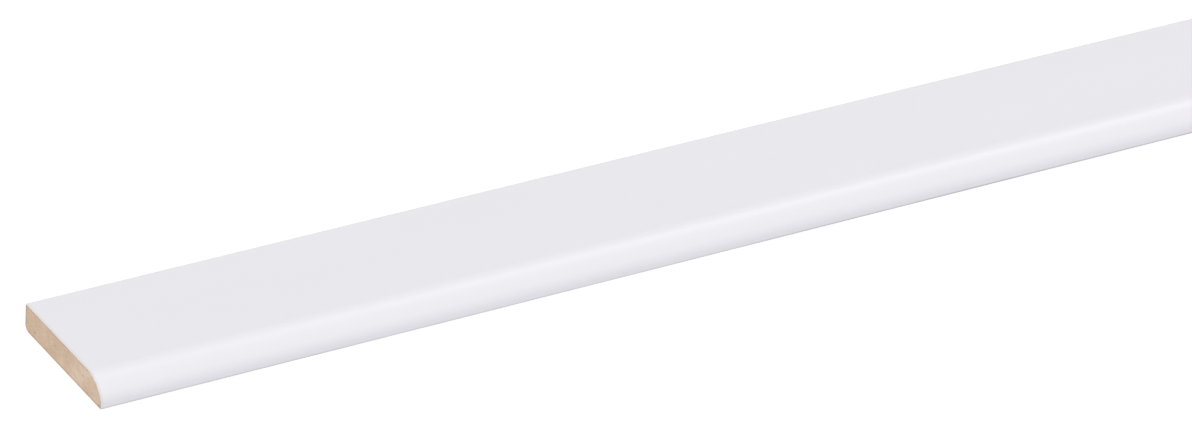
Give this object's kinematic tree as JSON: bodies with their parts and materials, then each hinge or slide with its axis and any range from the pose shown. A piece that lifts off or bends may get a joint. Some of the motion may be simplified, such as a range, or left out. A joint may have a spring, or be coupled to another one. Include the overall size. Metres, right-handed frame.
{
  "type": "skirting board",
  "caption": "Flat skirting strip with a rounded top edge, moulded in MDF and wrapped in white foil, glued to a wall by its bare flat back.",
  "frame": {"origin": "middle of the flat glue face, half way along the board and half way between the nose and the floor edge, with the board lying on that face", "axes": "+X along the board, +Y from the rounded nose to the square edge that meets the floor, +Z out of the show face, away from the wall"},
  "size_m": [2.4, 0.05, 0.009],
  "materials": {
    "mdf": "sawn",
    "white_foil": "satin"
  },
  "bodies": {
    "root": {"mdf_core": "mdf", "foil_wrap": "white_foil"}
  },
  "joints": []
}
